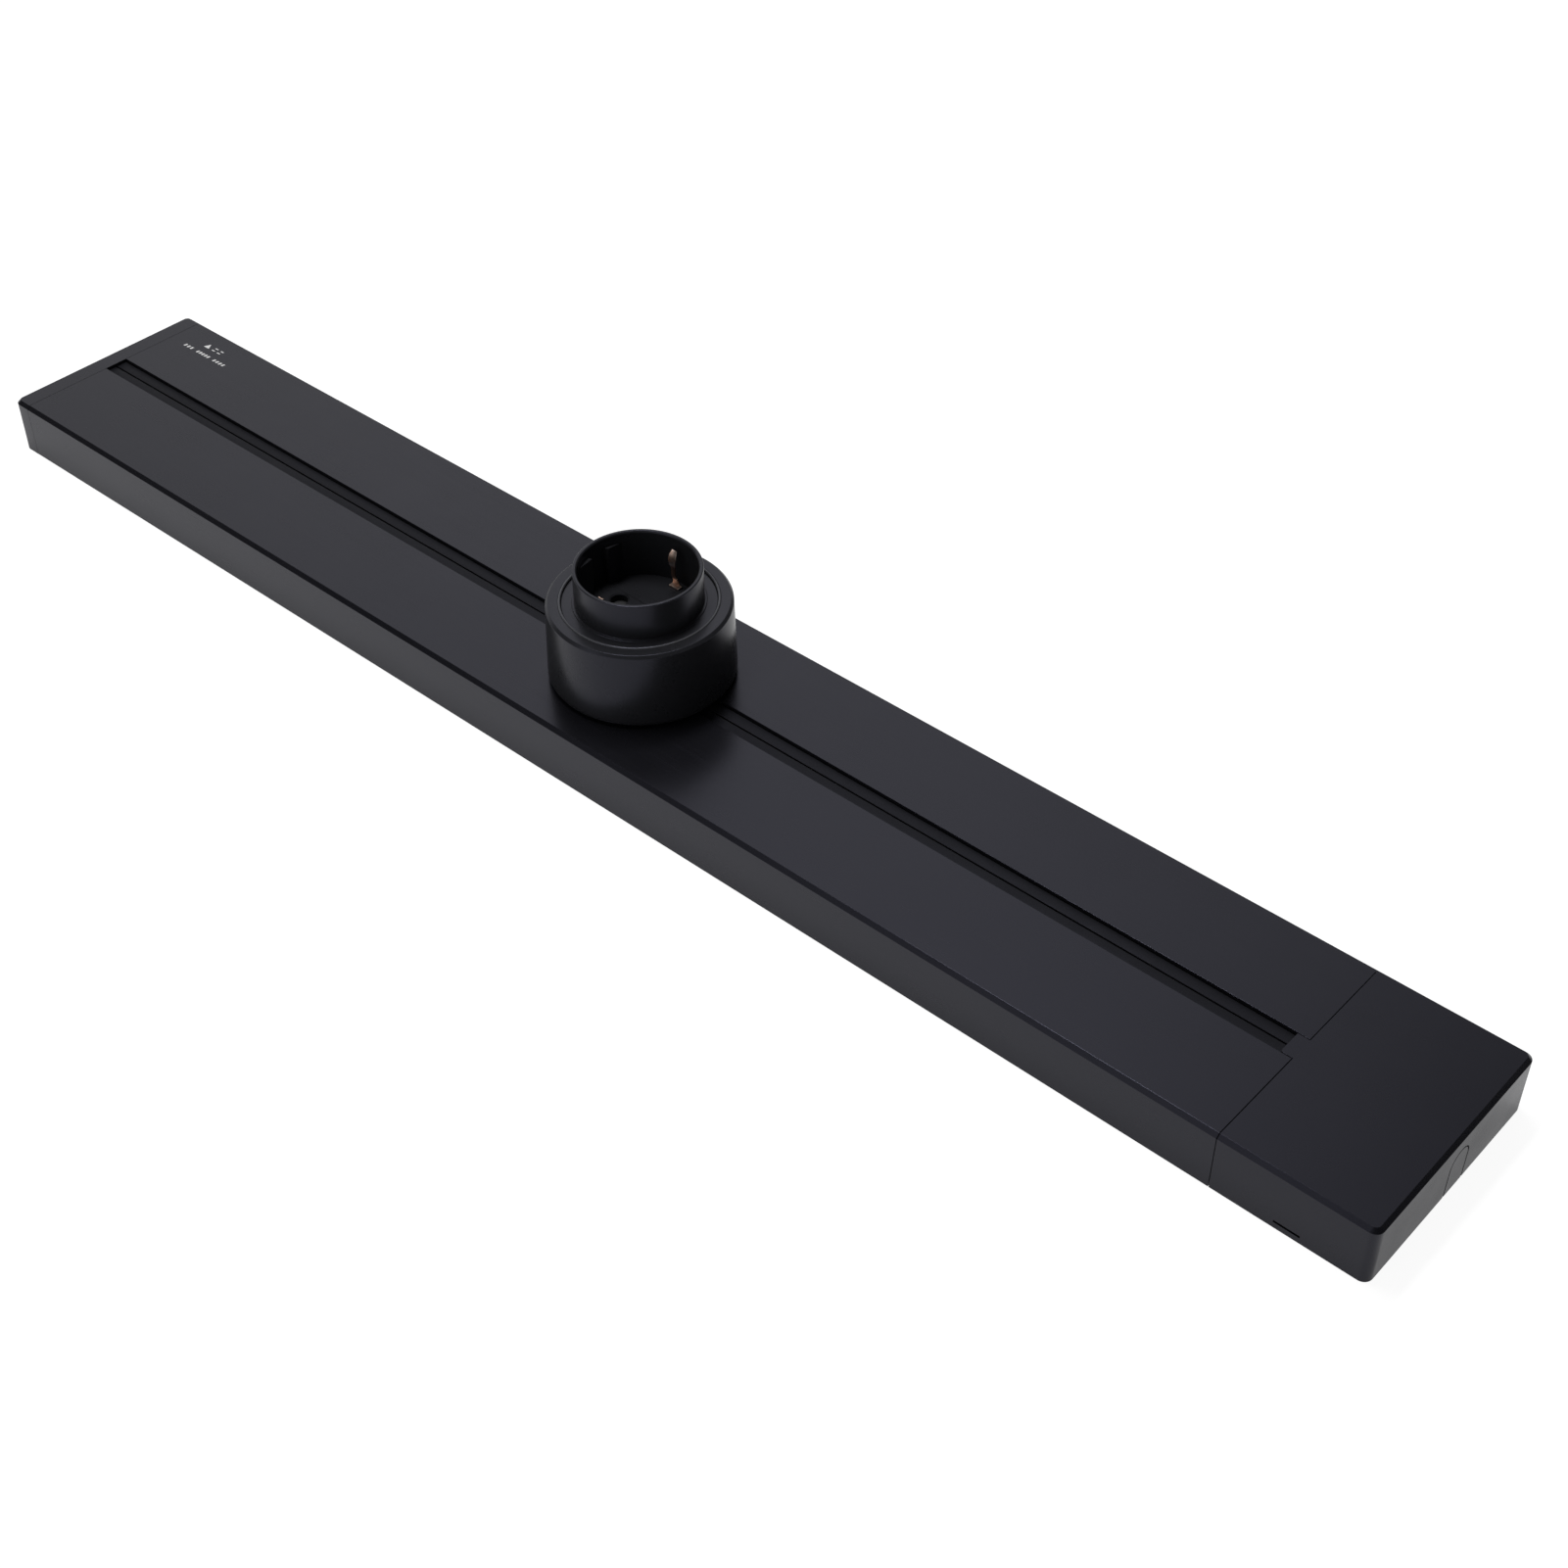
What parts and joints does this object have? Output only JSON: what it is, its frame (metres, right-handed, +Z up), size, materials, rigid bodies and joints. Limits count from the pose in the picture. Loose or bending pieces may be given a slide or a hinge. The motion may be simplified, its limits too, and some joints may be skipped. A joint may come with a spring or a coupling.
{
  "type": "power track socket",
  "caption": "Low surface-mounted power track with a sealed top slot, carrying a round twist-in socket that slides along it.",
  "frame": {"origin": "middle of the track's flat underside", "axes": "+X along the track towards the terminal cover, +Z up out of the slot"},
  "size_m": [0.6, 0.083, 0.0629],
  "materials": {
    "anodised_black": "satin black anodising",
    "black_moulding": "satin moulded plastic",
    "socket_black": "fine satin moulded plastic",
    "dark_moulding": "moulded plastic",
    "white_moulding": "natural moulded plastic",
    "seal_rubber": "soft matt rubber",
    "copper": "bare copper strip",
    "brass": "bare brass",
    "steel": "zinc plated steel"
  },
  "bodies": {
    "track": {"track_profile": "anodised_black", "end_cap": "black_moulding", "end_cap_screws": "steel", "terminal_cover": "black_moulding", "terminal_base": "dark_moulding", "cord_clamp": "dark_moulding", "cord_clamp_screws": "steel", "live_carrier": "white_moulding", "neutral_carrier": "white_moulding", "earth_carrier": "white_moulding", "live_busbar": "copper", "neutral_busbar": "copper", "earth_busbar": "copper", "live_clamp": "brass", "neutral_clamp": "brass", "earth_clamp": "brass", "terminal_block": "white_moulding", "terminal_screws": "steel", "seal_lip_near": "seal_rubber", "seal_lip_far": "seal_rubber"},
    "glide": {"glide_plate": "dark_moulding"},
    "socket_head": {"contact_head": "dark_moulding", "assembly_screws": "steel", "outer_shell": "socket_black", "socket_insert": "socket_black", "contact_block": "white_moulding", "earth_bracket": "copper", "live_pin_contact": "brass", "neutral_pin_contact": "brass", "live_conductor": "copper", "neutral_conductor": "copper", "earth_conductor": "copper", "shutter_spring": "steel", "detent_ball": "steel", "detent_spring": "steel"},
    "shutter": {"safety_shutter": "dark_moulding"}
  },
  "joints": [
    {"name": "head_slide", "type": "slide", "parent": "track", "child": "glide", "axis": [1, 0, 0], "range_m": [-0.2623, 0.2252], "deforming": ["seal_lip_near", "seal_lip_far"]},
    {"name": "head_turn", "type": "hinge", "parent": "glide", "child": "socket_head", "pos_m": [-0.0042, 0, 0.0237], "axis": [0, 0, 1], "range_deg": [0, 90]},
    {"name": "shutter_turn", "type": "hinge", "parent": "socket_head", "child": "shutter", "pos_m": [-0.0042, 0, 0.0418], "axis": [0, 0, 1], "range_deg": [0, 40], "stiffness_Nm_per_rad": 0.01, "deforming": ["shutter_spring"]}
  ]
}
